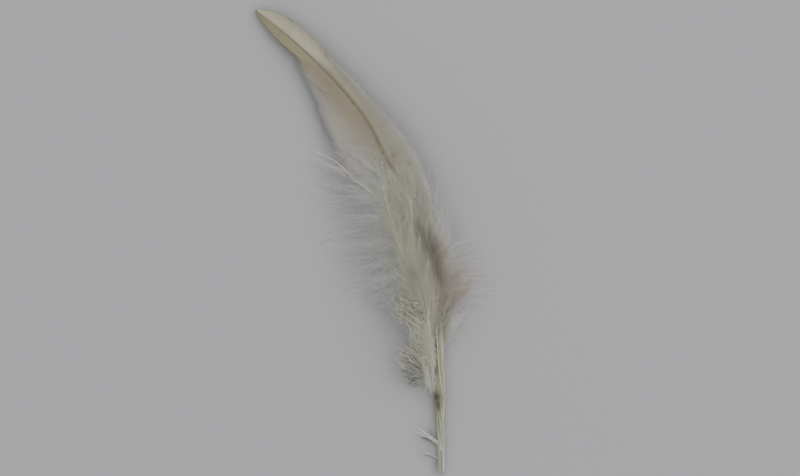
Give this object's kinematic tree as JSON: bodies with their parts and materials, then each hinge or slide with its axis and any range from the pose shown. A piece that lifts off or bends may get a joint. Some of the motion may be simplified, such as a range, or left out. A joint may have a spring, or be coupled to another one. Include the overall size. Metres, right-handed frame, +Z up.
{
  "type": "goose quill feather",
  "caption": "Small curved body feather lying flat, with a bare quill, loose downy barbs and a smooth vane that narrows to the tip.",
  "frame": {"origin": "on the surface the feather lies on, under the middle of its bounding box", "axes": "+Y along the bare quill towards the tip, +X to the side the feather curves away from, +Z up from the surface"},
  "size_m": [0.0658, 0.1202, 0.0091],
  "materials": {
    "horn": "pale translucent yellow-green horn, smooth, with a dull olive line towards the tip",
    "left_barbs": "matt cream barbs, tan at the vane and greyish white in the down",
    "right_barbs": "matt cream barbs, brownish in the tuft and see-through at the edge",
    "down": "soft off-white down"
  },
  "bodies": {
    "root": {"shaft": "horn", "left_vane": "left_barbs", "right_vane": "right_barbs", "afterfeather": "down"}
  },
  "joints": []
}
